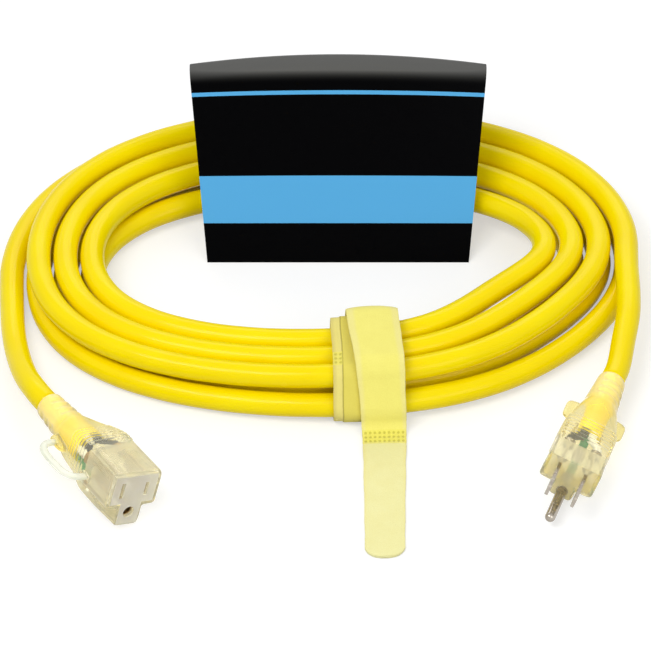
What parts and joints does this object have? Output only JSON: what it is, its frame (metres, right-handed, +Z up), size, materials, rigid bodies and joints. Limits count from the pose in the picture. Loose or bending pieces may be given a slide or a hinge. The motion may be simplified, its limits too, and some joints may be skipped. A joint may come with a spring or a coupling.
{
  "type": "extension cord",
  "caption": "Coiled heavy-duty extension cord with a clear plug and connector, a hook-and-loop strap round the coil and a folded card sleeve over it.",
  "frame": {"origin": "on the floor under the middle of the whole part's footprint", "axes": "+X to the right, -Y to the front where the plug, the connector and the strap's tail point, +Z up"},
  "size_m": [0.2901, 0.3064, 0.079],
  "materials": {
    "yellow_jacket": "satin",
    "clear_pvc": "gloss",
    "core_pvc": "satin",
    "carrier_pvc": "satin",
    "nickel": "satin",
    "contact_brass": "satin",
    "black_insulation": "satin",
    "white_insulation": "satin",
    "green_insulation": "satin",
    "strap_under": "matte",
    "strap_over": "matte",
    "black_card": "satin"
  },
  "bodies": {
    "cord": {"cord_coil": "yellow_jacket", "plug_tail": "yellow_jacket", "connector_tail": "yellow_jacket", "plug_cover": "clear_pvc", "plug_strain_relief": "clear_pvc", "plug_jacket_end": "yellow_jacket", "plug_core": "core_pvc", "line_blade": "nickel", "neutral_blade": "nickel", "earth_pin": "nickel", "plug_line_wire": "black_insulation", "plug_neutral_wire": "white_insulation", "plug_earth_wire": "green_insulation", "connector_cover": "clear_pvc", "connector_strain_relief": "clear_pvc", "connector_jacket_end": "yellow_jacket", "contact_carrier": "carrier_pvc", "line_contact": "contact_brass", "neutral_contact": "contact_brass", "earth_contact": "contact_brass", "connector_line_wire": "black_insulation", "connector_neutral_wire": "white_insulation", "connector_earth_wire": "green_insulation", "hang_loop": "clear_pvc", "strap_wrap": "strap_under", "strap_band": "strap_over"},
    "sleeve": {"card_sleeve": "black_card"},
    "tail": {"strap_tail": "strap_over"}
  },
  "joints": [
    {"name": "sleeve_lift", "type": "slide", "parent": "cord", "child": "sleeve", "axis": [0, 0, 1], "range_m": [0, 0.15]},
    {"name": "strap_tail_lift", "type": "hinge", "parent": "cord", "child": "tail", "pos_m": [0.02631, -0.06661, 0.0016], "axis": [-0.9994, -0.0349, 0], "range_deg": [0, 85]}
  ]
}
